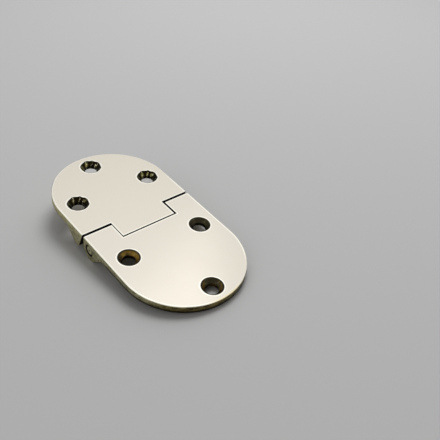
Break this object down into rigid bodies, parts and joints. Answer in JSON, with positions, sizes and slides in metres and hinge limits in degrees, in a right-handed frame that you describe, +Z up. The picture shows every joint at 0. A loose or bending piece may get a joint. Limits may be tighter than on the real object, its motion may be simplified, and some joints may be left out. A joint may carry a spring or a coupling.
{
  "type": "butler tray hinge",
  "caption": "Round-ended brass hinge that lies flush in a tray and its flap: a tongued leaf folds up on a pin between the ears of its mate, from level to upright.",
  "frame": {"origin": "on the flush top face, straight above the middle of the pin", "axes": "+X along the pin, +Y towards the round end of the tongued leaf, +Z up out of the flush top face"},
  "size_m": [0.038, 0.0733, 0.0065],
  "materials": {
    "eared_leaf_brass": "polished, with fine scratches on the top face and a duller edge",
    "tongued_leaf_brass": "polished, with fine scratches on the top face and a duller edge",
    "pin_brass": "drawn wire, cut off and faced"
  },
  "bodies": {
    "eared_side": {"eared_leaf": "eared_leaf_brass", "hinge_pin": "pin_brass"},
    "tongued_side": {"tongued_leaf": "tongued_leaf_brass"}
  },
  "joints": [
    {"name": "leaf_fold", "type": "hinge", "parent": "eared_side", "child": "tongued_side", "pos_m": [0, 0, -0.0031], "axis": [1, 0, 0], "range_deg": [0, 90]}
  ]
}
